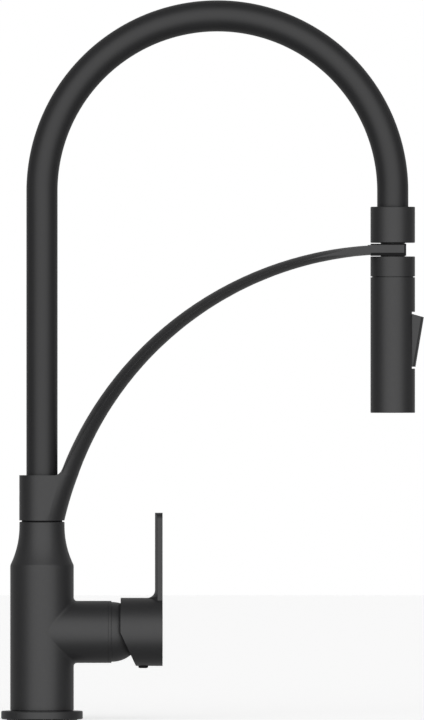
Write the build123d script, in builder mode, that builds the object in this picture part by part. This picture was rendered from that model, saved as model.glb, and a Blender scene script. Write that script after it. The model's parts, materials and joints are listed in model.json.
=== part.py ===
"""Deck-mounted kitchen mixer with a sleeved hose arch, a cast support arm and a docked two-spray head.

Millimetres. The origin is the centre of the base on the deck, +Z is up, and +X points along the spout.
The lever stands closed and the head sits in its fork.
"""
from build123d import *
import math
import os

os.makedirs("parts", exist_ok=True)

# Heights and radii of the column
BODY_R = 22.5
NECK_R = 16.0
FOOT_Z = 2.2
FOOT_R = 20.0
COLUMN_Z = 6.9
SHOULDER_Z = 109.6
SHOULDER_BEND = 3.5
WAIST_Z = 137.4
NECK_Z = 140.3
CAVITY_R = 18.5
CAVITY_Z = 32.0
NECK_CHAMFER = 0.4
FOOT_CHAMFER = 0.25

# Base ring and its gasket
RING_R = 28.9
RING_Z = 6.4
RING_GROOVE_R = 21.8
RING_CHAMFER = 0.5
GASKET_R = 25.0
GASKET_BORE_R = 19.2
GASKET_REVEAL = 0.7

# Deck fixing: two studs, a horseshoe and nuts
DECK_T = 30.0
STUD_X = 12.5
STUD_R = 3.0
STUD_TOP_Z = 43.0
STUD_BOTTOM_Z = -60.0
SHOE_R = 26.0
SHOE_SLOT = 13.0
SHOE_SLOT_Y = -14.0
SHOE_HOLE_R = 3.3
SHOE_GASKET_T = 2.5
SHOE_PLATE_T = 3.0
SHOE_CHAMFER = 0.4
STUD_CHAMFER = 0.6
NUT_T = 10.0
NUT_FLATS = 10.0

# Inlet ports and waterways
PORT_Y = 8.0
PORT_R = 4.5
PORT_TOP_Z = 44.0
CHANNEL_R = 3.2
INLET_DROP = 3.0
OUTLET_RISE = 8.0
OUTLET_R = 3.5

# Cartridge axis, along +X, and what lies on it
CART_Z = 62.36
HOUSING_R = 22.0
HOUSING_END = 47.0
ROOT_FILLET = 2.3
SEAT_X = 14.0
SEAT_R = 17.6
THREAD_X = 36.0
THREAD_R = 19.0
CART_R = 17.4
CART_BORE_R = 14.0
PIVOT_X = 49.5
STEM_HALF = 3.5
PIN_R = 1.5
PIN_GAP = 0.05
STEM_X = 40.0
STEM_END = 79.5
BALL_X = 34.5
BALL_R = 2.5
BALL_NECK_R = 1.7
DISC_OFFSET = 3.05
DISC_R = 10.7

# Dome and lever
DOME_R = 21.2
DOME_INNER_R = 19.4
DOME_RING_END = 49.2
DOME_TAIL_X = 43.2
DOME_TAIL_END = 47.5
DOME_TAIL_BORE_R = 17.3
DOME_TAIL_R = 18.9
RING_EDGE = 0.2
CAP_R = 24.15
CAP_LEFT = 55.7
CAP_RIGHT = 85.4
CAP_CAVITY_R = 21.9
CAP_BOSS_R = 6.5
CAP_SLANT_X = 66.6
CAP_BOSS_X = 64.0
CAP_BOSS_END = 72.0
STEM_SOCKET_X = 63.0
STEM_SOCKET_END = 80.0
BLADE_T = 5.4
BLADE_EDGE_T = 3.5
BLADE_HALF = 9.2
BLADE_TOP_Z = 146.7
BLADE_CORNER = 6.0
BLADE_ROOT_FILLET = 5.5
PLUG_X = 71.7
PLUG_R = 3.5
PLUG_DROP = 19.5
PLUG_POCKET_DROP = 19.0
PLUG_REVEAL = 1.5
PLUG_EDGE = 1.2
GRUB_R = 2.0
GRUB_LENGTH = 10.0
GRUB_KEY = 1.25

# Swivel between neck and collar
SPIGOT_R = 11.6
SPIGOT_BOTTOM_Z = 112.5
SPIGOT_TOP_Z = 153.0
SPIGOT_SEAL_R = 12.0
BEARING_R = 13.2
BEARING_BORE_R = 11.65
BEARING_Z = 128.8
BORE_FLOOR_Z = 110.0
WASHER_R = 14.4
WASHER_PLAY = 0.05
BEARING_PLAY = 0.2
SPIGOT_BORE_R = 5.5
SPIGOT_SEAT_R = 7.5
SPIGOT_SEAT_Z = 145.0
SCREW_Z = 117.0
SCREW_R = 2.5
SCREW_TIP_R = 1.5
SCREW_TIP_Y = 10.5
SCREW_BODY_Y = 12.1
SCREW_END_Y = 17.5
SCREW_KEY = 1.25
KEY_DEPTH = 2.5
SCREW_GROOVE_R = 10.2
SCREW_GROOVE_HALF = 1.8
SEAL_HEIGHTS = (121.9, 126.5)
SEAL_WIRE_R = 1.16
SEAL_CENTRE_R = 10.78
SEAL_GROOVE_R = 9.6
SEAL_GROOVE_HALF = 1.3

# Collar and support arm
COLLAR_R = 16.1
COLLAR_Z = 141.3
COLLAR_TOP_Z = 173.3
COLLAR_HALVES = (15.3, 15.6, 15.4, 14.9, 14.2)
ARM_CENTRE = (246.0, 91.15)
ARM_UPPER_CENTRE = (246.5, 87.3)
ARM_UPPER_R = 249.2
ARM_LOWER_CENTRE = (245.06, 89.1)
ARM_LOWER_R = 235.0
ARM_START_DEG = 155.0
ARM_END_DEG = 93.0
ARM_STATIONS = 14
ARM_TIP_T = 6.8
ARM_TIP_DEG = 92.0
ARM_SWELL = (0.0335, 0.00068)
ARM_HALF = 10.4
ARM_SPREAD = 3.6
ARM_SPREAD_START_DEG = 135.0
ARM_SPREAD_END_DEG = 161.0
ARM_FLARE_DEG = 103.0
ARM_RIDGE = 0.08
ARM_EDGE = 0.1
ARM_ROOT_R = 6.0
FORK_HALF = 13.5
FORK_SIDE_SHARE = 0.9
COLLAR_BORE_TOP_Z = 183.0
COLLAR_SCREW_Z = 147.5
COLLAR_SCREW_R = 2.0
COLLAR_SCREW_Y = SPIGOT_R
COLLAR_SCREW_END_Y = 15.2
COLLAR_SCREW_KEY = 1.0

# Fork and its insert
FORK_X = 232.8
FORK_TIP_X = 256.4
FORK_Z = 330.8
FORK_TOP_Z = 336.3
FORK_SLOT_R = 10.3
FORK_REACH = 15.0
FORK_LAP = 2.0
INSERT_Z = 328.7
INSERT_TOP_Z = 337.2
INSERT_TIP_X = 257.8
INSERT_SLOT_R = 8.95

# Hose arch
HEAD_X = 248.4
ARCH_Z = 374.4
SLEEVE_R = 11.05
SLEEVE_BORE_R = 9.25
COIL_R = 9.15
COIL_BORE_R = 7.1
TUBE_R = 7.0
TUBE_BORE_R = 4.5
BARB_R = 4.45
HOSE_BORE_R = 3.2
HOSE_START_Z = 156.6
HOSE_END_Z = 346.6
HOSE_SOCKET_R = 11.25
FLANGE_R = 10.8
TAIL_Z = 145.5
FLANGE_TOP_Z = 156.0
BARB_TOP_Z = 172.0

# Ferrule and swivel stem at the hose's end
HEAD_R = 15.77
FERRULE_Z = 337.9
FERRULE_TOP_Z = 363.4
FERRULE_CHAMFER = 0.4
FERRULE_FLOOR_Z = 340.0
STEM_NECK_R = 8.6
STEM_SPIGOT_R = 6.4
STEM_BOTTOM_Z = 297.0
STEM_STEP_Z = 311.5
STEM_FLANGE_TOP_Z = 346.0
STEM_BARB_TOP_Z = 362.0
STEM_RING_Z = 300.2
STEM_RING_HALF = 1.2
STEM_RING_GROOVE_R = 5.0
STEM_RING_CENTRE_R = 5.97
STEM_RING_WIRE_R = 0.95
CIRCLIP_Z = 313.9
CIRCLIP_T = 1.0
CIRCLIP_GROOVE_HALF = 0.6
CIRCLIP_BORE_R = 7.4
CIRCLIP_R = 9.9
CIRCLIP_GAP = 5.0

# Spray head
HEAD_Z = 217.5
HEAD_SEAM_Z = 313.5
HEAD_SEAM = 0.6
HEAD_TOP_Z = 328.2
HEAD_SEAM_R = 14.6
HEAD_CHAMFER = 0.3
HEAD_SEAM_CHAMFER = 0.1
HEAD_BORE_R = 12.5
HEAD_THREAD_R = 13.2
HEAD_THREAD_Z = 305.8
COLLAR_TAIL_Z = 306.0
COLLAR_TAIL_BORE_R = 10.2
CIRCLIP_SEAT_Z = 315.4
STEM_PLAY = 0.08
CORE_R = 12.4
CORE_TOP_Z = 305.5
CORE_SOCKET_R = 7.0
CORE_SOCKET_Z = 296.0
VALVE_U = -2.6
VALVE_R = 3.95
VALVE_BORE_R = 2.0
VALVE_Z = 287.2
VALVE_TOP_Z = 295.8
VALVE_POCKET_R = 4.0
VALVE_POCKET_Z = 287.0

# Outlet: nozzle plate, nozzles and aerator
FACE_Z = 218.3
FACE_PLATE_TOP_Z = 222.3
FACE_R = 14.1
FACE_BORE_R = 14.2
FACE_TOP_Z = 232.0
FACE_SKIRT_R = 13.1
NOZZLE_RINGS = ((9.3, 16), (12.0, 22))
NOZZLE_HOLE_R = 0.9
NOZZLE_R = 0.85
NOZZLE_BORE_R = 0.35
NOZZLE_Z = 217.8
NOZZLE_WEB_R = 13.05
NOZZLE_WEB_BORE_R = 8.1
NOZZLE_WEB_T = 1.5
AERATOR_HOLE_R = 7.0
AERATOR_Z = 218.0
AERATOR_R = 6.95
AERATOR_BORE_R = 5.6
AERATOR_TOP_Z = 230.0
AERATOR_LIP_Z = 222.4
AERATOR_LIP_R = 8.0
AERATOR_LIP_T = 1.6
MESH_Z = 218.8
MESH_T = 1.2
MESH_PITCH = 1.5
MESH_HOLE = 1.0
MESH_COUNT = 5

# Rocker and the spool it pushes
RECESS_Z = 248.8
RECESS_TOP_Z = 289.0
RECESS_FLAT = 13.5
WINDOW_LEDGE = 0.6
ROCKER_HALF = 7.2
ROCKER_GAP = 0.25
ROCKER_PIVOT = (11.5, 252.5)
ROCKER_PIN_R = 1.2
ROCKER_PIN_HALF = 8.6
ROCKER_FACE_R = 12.5
ROCKER_FACE_U = 6.72
ROCKER_HEEL_R = 2.4
ROCKER_BACK_U = 11.1
ROCKER_TOP_Z = 287.9
ROCKER_TOE = (22.0, 285.2)
ROCKER_FOOT = (16.1, 250.1)
POCKET_FLOOR = 5.2
SPOOL_Z = 279.0
SPOOL_R = 2.5
SPOOL_PLAY = 0.05
SPOOL_BORE_U = -9.2
SPOOL_U = -3.4
SPOOL_WAIST_U = -0.3
SPOOL_WAIST_END_U = 3.9
SPOOL_WAIST_R = 1.5
SPOOL_HEAD_U = 9.8
SPOOL_HEAD_R = 4.0
SPOOL_END_U = 10.5
SPRING_SEAT_U = 0.5
SPRING_BORE_R = 4.2
SPRING_PLAY = 0.1
SPRING_R = 3.9
SPRING_INNER_R = 2.75
INLET_U = -4.1
INLET_R = 0.9
NOZZLE_WAY_U = -7.3
AERATOR_WAY_U = -1.4
WAY_R = 1.1

CART_AXIS = Axis((0, 0, CART_Z), (1, 0, 0))
HEAD_AXIS = Axis((HEAD_X, 0, 0), (0, 0, 1))
SIDE = Plane(origin=(0, 0, CART_Z), x_dir=(1, 0, 0), z_dir=(0, -1, 0))
HEAD_SIDE = Plane(origin=(HEAD_X, 0, 0), x_dir=(1, 0, 0), z_dir=(0, -1, 0))


def level(z):
    """A horizontal plane at height z on the column's axis."""
    return Plane.XY.offset(z)


def across(x):
    """A plane square to the cartridge's axis, with local x along +Y and local y up."""
    return Plane(origin=(x, 0, CART_Z), x_dir=(0, 1, 0), z_dir=(1, 0, 0))


def pivot_side(y):
    """A plane square to the pin the lever tips on, centred on it."""
    return Plane(origin=(PIVOT_X, y, CART_Z), x_dir=(1, 0, 0), z_dir=(0, 1, 0))


def below_cap(drop):
    """A plane facing down under the handle's screw, at a drop below the cartridge's axis."""
    return Plane(origin=(PLUG_X, 0, CART_Z - drop), x_dir=(1, 0, 0), z_dir=(0, 0, -1))


def head_level(z):
    """A horizontal plane at height z on the head's axis."""
    return Plane(origin=(HEAD_X, 0, z))


def head_across(u):
    """A plane facing +X in the head, u from its axis, with local x along +Y and local y up."""
    return Plane(origin=(HEAD_X + u, 0, 0), x_dir=(0, 1, 0), z_dir=(1, 0, 0))


def rocker_side(y):
    """A plane square to the rocker's pin, centred on it."""
    return Plane(origin=(HEAD_X + ROCKER_PIVOT[0], y, ROCKER_PIVOT[1]), x_dir=(1, 0, 0), z_dir=(0, 1, 0))


def rear(y, z):
    """A plane facing the back, for screws that go in from behind."""
    return Plane(origin=(0, y, z), x_dir=(-1, 0, 0), z_dir=(0, 1, 0))


# ---------------------------------------------------------------- base and column

with BuildPart() as base_gasket:
    with BuildSketch(level(0)):
        Circle(GASKET_R)
        Circle(GASKET_BORE_R, mode=Mode.SUBTRACT)
    extrude(amount=FOOT_Z)

with BuildPart() as base_ring:
    with BuildSketch(level(GASKET_REVEAL)):
        Circle(RING_R)
    extrude(amount=RING_Z - GASKET_REVEAL)
    chamfer(base_ring.edges().filter_by(GeomType.CIRCLE), RING_CHAMFER)
    with BuildSketch(level(RING_Z)):
        Circle(RING_GROOVE_R)
    extrude(amount=COLUMN_Z - RING_Z)
    with BuildSketch(level(GASKET_REVEAL)):
        Circle(FOOT_R)
    extrude(amount=COLUMN_Z - GASKET_REVEAL, mode=Mode.SUBTRACT)
    with BuildSketch(level(GASKET_REVEAL)):
        Circle(GASKET_R)
    extrude(amount=FOOT_Z - GASKET_REVEAL, mode=Mode.SUBTRACT)

with BuildPart() as main_body:
    with BuildSketch(Plane.XZ) as column:
        with BuildLine():
            Polyline(
                (NECK_R, WAIST_Z), (NECK_R, NECK_Z), (0, NECK_Z), (0, FOOT_Z), (FOOT_R, FOOT_Z),
                (FOOT_R, COLUMN_Z), (BODY_R, COLUMN_Z), (BODY_R, SHOULDER_Z),
            )
            TangentArc((NECK_R, WAIST_Z), (BODY_R, SHOULDER_Z), tangent=(0, -1))
        make_face()
        fillet(column.vertices().sort_by_distance((BODY_R, SHOULDER_Z))[0], SHOULDER_BEND)
    revolve(axis=Axis.Z)
    chamfer(main_body.edges().filter_by(GeomType.CIRCLE).group_by(Axis.Z)[-1], NECK_CHAMFER)
    foot_edges = main_body.edges().filter_by(GeomType.CIRCLE).filter_by_position(
        Axis.Z, COLUMN_Z - 0.1, COLUMN_Z + 0.1)
    chamfer(foot_edges.sort_by(SortBy.RADIUS)[-1], FOOT_CHAMFER)
    with BuildSketch(across(0)):
        Circle(HOUSING_R)
    extrude(amount=HOUSING_END)
    crease = main_body.edges().filter_by(GeomType.BSPLINE) + main_body.edges().filter_by(GeomType.OTHER)
    fillet(crease, ROOT_FILLET)
    # base cavity, stud sockets, inlet ports and their channels
    with BuildSketch(level(FOOT_Z)):
        Circle(CAVITY_R)
    extrude(amount=CAVITY_Z - FOOT_Z, mode=Mode.SUBTRACT)
    with BuildSketch(level(CAVITY_Z)):
        with Locations((STUD_X, 0), (-STUD_X, 0)):
            Circle(STUD_R)
    extrude(amount=STUD_TOP_Z - CAVITY_Z, mode=Mode.SUBTRACT)
    with BuildSketch(level(CAVITY_Z)):
        with Locations((0, PORT_Y), (0, -PORT_Y)):
            Circle(PORT_R)
    extrude(amount=PORT_TOP_Z - CAVITY_Z, mode=Mode.SUBTRACT)
    with BuildSketch(level(PORT_TOP_Z)):
        with Locations((0, PORT_Y), (0, -PORT_Y)):
            Circle(CHANNEL_R)
    extrude(amount=CART_Z - INLET_DROP - PORT_TOP_Z, mode=Mode.SUBTRACT)
    with BuildSketch(across(0)):
        with Locations((PORT_Y, -INLET_DROP), (-PORT_Y, -INLET_DROP)):
            Circle(CHANNEL_R)
    extrude(amount=SEAT_X, mode=Mode.SUBTRACT)
    # mixed water, from the seat up to the neck
    with BuildSketch(across(0)):
        with Locations((0, OUTLET_RISE)):
            Circle(OUTLET_R)
    extrude(amount=SEAT_X, mode=Mode.SUBTRACT)
    with BuildSketch(level(CART_Z + OUTLET_RISE)):
        Circle(OUTLET_R)
    extrude(amount=SPIGOT_BOTTOM_Z - CART_Z - OUTLET_RISE, mode=Mode.SUBTRACT)
    # cartridge seat and thread
    with BuildSketch(across(SEAT_X)):
        Circle(SEAT_R)
    extrude(amount=HOUSING_END - SEAT_X, mode=Mode.SUBTRACT)
    with BuildSketch(across(THREAD_X)):
        Circle(THREAD_R)
    extrude(amount=HOUSING_END - THREAD_X, mode=Mode.SUBTRACT)
    # swivel bore and the rear screw that keeps the spigot in
    with BuildSketch(level(BORE_FLOOR_Z)):
        Circle(SPIGOT_SEAL_R)
    extrude(amount=NECK_Z - BORE_FLOOR_Z, mode=Mode.SUBTRACT)
    with BuildSketch(level(BEARING_Z)):
        Circle(BEARING_R)
    extrude(amount=NECK_Z - BEARING_Z, mode=Mode.SUBTRACT)
    with BuildSketch(rear(SCREW_TIP_Y, SCREW_Z)):
        Circle(SCREW_R)
    extrude(amount=BODY_R - SCREW_TIP_Y, mode=Mode.SUBTRACT)

with BuildPart() as retaining_screw:
    with BuildSketch(rear(SCREW_TIP_Y, SCREW_Z)):
        Circle(SCREW_TIP_R)
    extrude(amount=SCREW_BODY_Y - SCREW_TIP_Y)
    with BuildSketch(rear(SCREW_BODY_Y, SCREW_Z)):
        Circle(SCREW_R)
    extrude(amount=SCREW_END_Y - SCREW_BODY_Y)
    with BuildSketch(rear(SCREW_END_Y - KEY_DEPTH, SCREW_Z)):
        RegularPolygon(SCREW_KEY, 6, major_radius=False)
    extrude(amount=KEY_DEPTH, mode=Mode.SUBTRACT)

with BuildPart() as swivel_bearing:
    with BuildSketch(level(BEARING_Z)):
        Circle(BEARING_R)
        Circle(BEARING_BORE_R, mode=Mode.SUBTRACT)
    extrude(amount=NECK_Z - BEARING_Z - BEARING_PLAY)

with BuildPart() as slide_washer:
    with BuildSketch(level(NECK_Z)):
        Circle(WASHER_R)
        Circle(BEARING_BORE_R, mode=Mode.SUBTRACT)
    extrude(amount=COLLAR_Z - NECK_Z - WASHER_PLAY)

# ---------------------------------------------------------------- deck fixing

with BuildPart() as fixing_studs:
    with BuildSketch(level(STUD_BOTTOM_Z)):
        with Locations((STUD_X, 0), (-STUD_X, 0)):
            Circle(STUD_R)
    extrude(amount=STUD_TOP_Z - STUD_BOTTOM_Z)
    chamfer(fixing_studs.edges().filter_by(GeomType.CIRCLE).group_by(Axis.Z)[0], STUD_CHAMFER)

with BuildSketch() as shoe:
    Circle(SHOE_R)
    with Locations((0, SHOE_SLOT_Y + SHOE_SLOT / 2)):
        Circle(SHOE_SLOT / 2, mode=Mode.SUBTRACT)
    with Locations((0, SHOE_SLOT_Y + SHOE_SLOT / 2 + SHOE_R)):
        Rectangle(SHOE_SLOT, 2 * SHOE_R, mode=Mode.SUBTRACT)
    with Locations((STUD_X, 0), (-STUD_X, 0)):
        Circle(SHOE_HOLE_R, mode=Mode.SUBTRACT)

with BuildPart() as horseshoe_gasket:
    with BuildSketch(level(-DECK_T - SHOE_GASKET_T)):
        add(shoe.sketch)
    extrude(amount=SHOE_GASKET_T)

with BuildPart() as horseshoe_plate:
    with BuildSketch(level(-DECK_T - SHOE_GASKET_T - SHOE_PLATE_T)):
        add(shoe.sketch)
    extrude(amount=SHOE_PLATE_T)
    chamfer(horseshoe_plate.faces().sort_by(Axis.Z)[0].outer_wire().edges(), SHOE_CHAMFER)

with BuildPart() as fixing_nuts:
    with BuildSketch(level(-DECK_T - SHOE_GASKET_T - SHOE_PLATE_T - NUT_T)):
        with Locations((STUD_X, 0), (-STUD_X, 0)):
            RegularPolygon(NUT_FLATS / 2, 6, major_radius=False)
            Circle(STUD_R, mode=Mode.SUBTRACT)
    extrude(amount=NUT_T)

# ---------------------------------------------------------------- cartridge

PORTS = [(PORT_Y, -INLET_DROP), (-PORT_Y, -INLET_DROP), (0, OUTLET_RISE)]
BASE_X = SEAT_X + 0.4
SEAL_R = 4.6
SEAL_INNER_R = 3.4
SEAL_T = 1.2
BASE_PORT_R = 3.0
FIXED_DISC_X = 18.0
FIXED_DISC_END = 21.5
FIXED_DISC_R = 13.9
DISC_PORT_R = 2.8
MOVING_DISC_X = FIXED_DISC_END + 0.05
MIXING_SLOT = (14.0, 8.0)
MIXING_DEPTH = 2.0
DRIVER_X = 25.0
DRIVER_END = 29.0
DRIVER_HUB_R = 5.0
SOCKET_LEFT = BALL_X - 3.2
SOCKET_MOUTH = BALL_X + 2.0
SOCKET_R = BALL_R + 0.2
SOCKET_MOUTH_R = 4.2
ROTOR_X = 29.3
ROTOR_STEP_X = 39.6
ROTOR_END = 53.5
ROTOR_R = 13.8
ROTOR_NECK_R = 12.0
ROTOR_WINDOW = (10.8, 16.9)
ROTOR_WINDOW_RISE = 3.05
ROTOR_SLOT = (7.4, 17.0)
LID_X = 39.9
LID_R = 15.5
LID_BORE_R = 12.05
CARTRIDGE_END = 42.0
NUT_X = 38.0
NUT_LENGTH = 4.8
NUT_BORE_R = 15.6
NUT_KEY = (4.0, 8.0)
NUT_KEY_R = 16.6
NUT_KEY_DEPTH = 1.8
PIN_HALF = 9.5

with BuildPart() as cartridge_seals:
    with BuildSketch(across(SEAT_X)):
        with Locations(*PORTS):
            Circle(SEAL_R)
            Circle(SEAL_INNER_R, mode=Mode.SUBTRACT)
    extrude(amount=SEAL_T)

with BuildPart() as cartridge_base:
    with BuildSketch(across(BASE_X)):
        Circle(CART_R)
        with Locations(*PORTS):
            Circle(BASE_PORT_R, mode=Mode.SUBTRACT)
    extrude(amount=FIXED_DISC_X - BASE_X)
    with BuildSketch(across(BASE_X)):
        with Locations(*PORTS):
            Circle(SEAL_R)
    extrude(amount=SEAT_X + SEAL_T - BASE_X, mode=Mode.SUBTRACT)

with BuildPart() as fixed_disc:
    with BuildSketch(across(FIXED_DISC_X)):
        Circle(FIXED_DISC_R)
        with Locations(*PORTS):
            Circle(DISC_PORT_R, mode=Mode.SUBTRACT)
    extrude(amount=FIXED_DISC_END - FIXED_DISC_X)

with BuildPart() as cartridge_housing:
    with BuildSketch(SIDE):
        with BuildLine():
            Polyline(
                (FIXED_DISC_X, CART_BORE_R), (FIXED_DISC_X, CART_R), (NUT_X, CART_R), (NUT_X, LID_R),
                (CARTRIDGE_END, LID_R), (CARTRIDGE_END, LID_BORE_R), (LID_X, LID_BORE_R),
                (LID_X, CART_BORE_R), close=True,
            )
        make_face()
    revolve(axis=CART_AXIS)

with BuildPart() as cartridge_nut:
    with BuildSketch(across(NUT_X)):
        Circle(THREAD_R)
        Circle(NUT_BORE_R, mode=Mode.SUBTRACT)
    extrude(amount=NUT_LENGTH)
    with BuildSketch(across(NUT_X + NUT_LENGTH - NUT_KEY_DEPTH)):
        with PolarLocations(NUT_KEY_R, 4):
            Rectangle(*NUT_KEY)
    extrude(amount=NUT_KEY_DEPTH, mode=Mode.SUBTRACT)

with BuildPart() as cartridge_rotor:
    with BuildSketch(across(ROTOR_X)):
        Circle(ROTOR_R)
        with Locations((0, ROTOR_WINDOW_RISE)):
            Rectangle(*ROTOR_WINDOW, mode=Mode.SUBTRACT)
    extrude(amount=ROTOR_STEP_X - ROTOR_X)
    with BuildSketch(across(ROTOR_STEP_X)):
        Circle(ROTOR_NECK_R)
        Rectangle(*ROTOR_SLOT, mode=Mode.SUBTRACT)
    extrude(amount=ROTOR_END - ROTOR_STEP_X)
    with BuildSketch(pivot_side(-PIN_HALF)):
        Circle(PIN_R)
    extrude(amount=2 * PIN_HALF, mode=Mode.SUBTRACT)

with BuildPart() as stem_pin:
    with BuildSketch(pivot_side(-PIN_HALF)):
        Circle(PIN_R)
    extrude(amount=2 * PIN_HALF)

with BuildPart() as moving_disc:
    with BuildSketch(across(MOVING_DISC_X)):
        with Locations((0, -DISC_OFFSET)):
            Circle(DISC_R)
    extrude(amount=DRIVER_X - MOVING_DISC_X)
    with BuildSketch(across(MOVING_DISC_X)):
        with Locations((0, -DISC_OFFSET)):
            SlotOverall(*MIXING_SLOT)
    extrude(amount=MIXING_DEPTH, mode=Mode.SUBTRACT)

with BuildPart() as disc_driver:
    with BuildSketch(across(DRIVER_X)):
        with Locations((0, -DISC_OFFSET)):
            Circle(DISC_R)
    extrude(amount=DRIVER_END - DRIVER_X)
    with BuildSketch(across(DRIVER_END)):
        Circle(DRIVER_HUB_R)
    extrude(amount=SOCKET_MOUTH - DRIVER_END)
    with BuildSketch(SIDE):
        with BuildLine():
            Polyline(
                (SOCKET_LEFT, 0), (SOCKET_LEFT, SOCKET_R), (BALL_X + 0.8, SOCKET_R),
                (SOCKET_MOUTH, SOCKET_MOUTH_R), (SOCKET_MOUTH, 0), close=True,
            )
        make_face()
    revolve(axis=CART_AXIS, mode=Mode.SUBTRACT)

# ---------------------------------------------------------------- dome and lever

with BuildPart() as dome_cover:
    with BuildSketch(Plane(origin=(PIVOT_X, 0, CART_Z), x_dir=(1, 0, 0), z_dir=(0, -1, 0))):
        ring_x = HOUSING_END - PIVOT_X
        ring_end = DOME_RING_END - PIVOT_X
        tail_x = DOME_TAIL_X - PIVOT_X
        tail_end = DOME_TAIL_END - PIVOT_X
        with BuildLine():
            outer = CenterArc((0, 0), DOME_R, 45, 45)
            inner = CenterArc((0, 0), DOME_INNER_R, 45, 45)
            Line(outer @ 0, inner @ 0)
            Polyline(
                outer @ 1, (ring_end, DOME_R), (ring_end, HOUSING_R), (ring_x, HOUSING_R),
                (ring_x, DOME_TAIL_R), (tail_x, DOME_TAIL_R), (tail_x, DOME_TAIL_BORE_R),
                (tail_end, DOME_TAIL_BORE_R), inner @ 1,
            )
        make_face()
    revolve(axis=CART_AXIS)
    chamfer(dome_cover.edges().filter_by(GeomType.CIRCLE).filter_by(
        lambda e: abs(e.radius - HOUSING_R) < 0.01), RING_EDGE)

with BuildPart() as stem:
    with BuildSketch(across(STEM_X)):
        Rectangle(2 * STEM_HALF, 2 * STEM_HALF)
    extrude(amount=STEM_END - STEM_X)
    with BuildSketch(across(BALL_X)):
        Circle(BALL_NECK_R)
    extrude(amount=STEM_X - BALL_X)
    with Locations((BALL_X, 0, CART_Z)):
        Sphere(BALL_R)
    with BuildSketch(pivot_side(-STEM_HALF)):
        Circle(PIN_R + PIN_GAP)
    extrude(amount=2 * STEM_HALF, mode=Mode.SUBTRACT)

with BuildPart() as lever_handle:
    with BuildSketch(across(CAP_LEFT)):
        Circle(CAP_R)
    extrude(amount=CAP_RIGHT - CAP_LEFT)
    # blade, flat outside and crowned inside
    with BuildSketch(level(CART_Z)):
        with BuildLine():
            edge_x = CAP_RIGHT - BLADE_EDGE_T
            Polyline((edge_x, BLADE_HALF), (CAP_RIGHT, BLADE_HALF), (CAP_RIGHT, -BLADE_HALF),
                     (edge_x, -BLADE_HALF))
            ThreePointArc((edge_x, -BLADE_HALF), (CAP_RIGHT - BLADE_T, 0), (edge_x, BLADE_HALF))
        make_face()
    extrude(amount=BLADE_TOP_Z - CART_Z)
    fillet(lever_handle.edges().filter_by(Axis.X).group_by(Axis.Z)[-1], BLADE_CORNER)
    # where the crowned face runs into the cap
    fillet(lever_handle.edges().filter_by(GeomType.BSPLINE).filter_by_position(
        Axis.Z, CART_Z + BLADE_HALF, CART_Z + CAP_R), BLADE_ROOT_FILLET)
    # the fillet's two ends, bevelled back from the blade's edges
    for edge_y in (-BLADE_HALF, BLADE_HALF):
        with BuildSketch(level(CART_Z)):
            with BuildLine():
                Polyline((edge_x, edge_y), (edge_x - BLADE_HALF, edge_y), (edge_x - BLADE_HALF, 0), close=True)
            make_face()
        extrude(amount=BLADE_TOP_Z - CART_Z, mode=Mode.SUBTRACT)
    with BuildSketch(across(CAP_LEFT)):
        Circle(CAP_R)
    extrude(amount=edge_x - CAP_LEFT)
    # the slanted cut that lets the lever tip outwards
    with BuildSketch(SIDE):
        with BuildLine():
            Polyline(
                (CAP_LEFT - 1, 0), (CAP_LEFT, 0), (CAP_SLANT_X, -CAP_R), (CAP_SLANT_X, -CAP_R - 1),
                (CAP_LEFT - 1, -CAP_R - 1), close=True,
            )
        make_face()
    extrude(amount=CAP_R + 1, both=True, mode=Mode.SUBTRACT)
    # cavity round the dome, with the boss that holds the stem
    with Locations((PIVOT_X, 0, CART_Z)):
        Sphere(CAP_CAVITY_R, mode=Mode.SUBTRACT)
    with BuildSketch(across(CAP_BOSS_X)):
        Circle(CAP_BOSS_R)
    extrude(amount=CAP_BOSS_END - CAP_BOSS_X)
    with BuildSketch(across(STEM_SOCKET_X)):
        Rectangle(2 * STEM_HALF, 2 * STEM_HALF)
    extrude(amount=STEM_SOCKET_END - STEM_SOCKET_X, mode=Mode.SUBTRACT)
    with BuildSketch(below_cap(0)):
        Circle(GRUB_R)
    extrude(amount=PLUG_POCKET_DROP, mode=Mode.SUBTRACT)
    with BuildSketch(below_cap(PLUG_POCKET_DROP)):
        Circle(PLUG_R)
    extrude(amount=CAP_R - PLUG_POCKET_DROP + 1, mode=Mode.SUBTRACT)

with BuildPart() as handle_screw:
    with BuildSketch(below_cap(STEM_HALF)):
        Circle(GRUB_R)
    extrude(amount=GRUB_LENGTH)
    with BuildSketch(below_cap(STEM_HALF + GRUB_LENGTH - KEY_DEPTH)):
        RegularPolygon(GRUB_KEY, 6, major_radius=False)
    extrude(amount=KEY_DEPTH, mode=Mode.SUBTRACT)

with BuildPart() as handle_plug:
    with BuildSketch(below_cap(PLUG_DROP)):
        Circle(PLUG_R)
    extrude(amount=CAP_R + PLUG_REVEAL - PLUG_DROP)
    fillet(handle_plug.edges().group_by(Axis.Z)[0], PLUG_EDGE)

# ---------------------------------------------------------------- swivel spigot and hose

with BuildPart() as swivel_spigot:
    with BuildSketch(Plane.XZ):
        with BuildLine():
            Polyline(
                (SPIGOT_BORE_R, SPIGOT_BOTTOM_Z), (SPIGOT_R, SPIGOT_BOTTOM_Z), (SPIGOT_R, SPIGOT_TOP_Z),
                (SPIGOT_SEAT_R, SPIGOT_TOP_Z), (SPIGOT_SEAT_R, SPIGOT_SEAT_Z),
                (SPIGOT_BORE_R, SPIGOT_SEAT_Z), close=True,
            )
        make_face()
        with Locations((SCREW_GROOVE_R + 1, SCREW_Z)):
            Rectangle(2, 2 * SCREW_GROOVE_HALF, mode=Mode.SUBTRACT)
        for height in SEAL_HEIGHTS:
            with Locations((SEAL_GROOVE_R + 1.5, height)):
                Rectangle(3, 2 * SEAL_GROOVE_HALF, mode=Mode.SUBTRACT)
    revolve(axis=Axis.Z)

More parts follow.
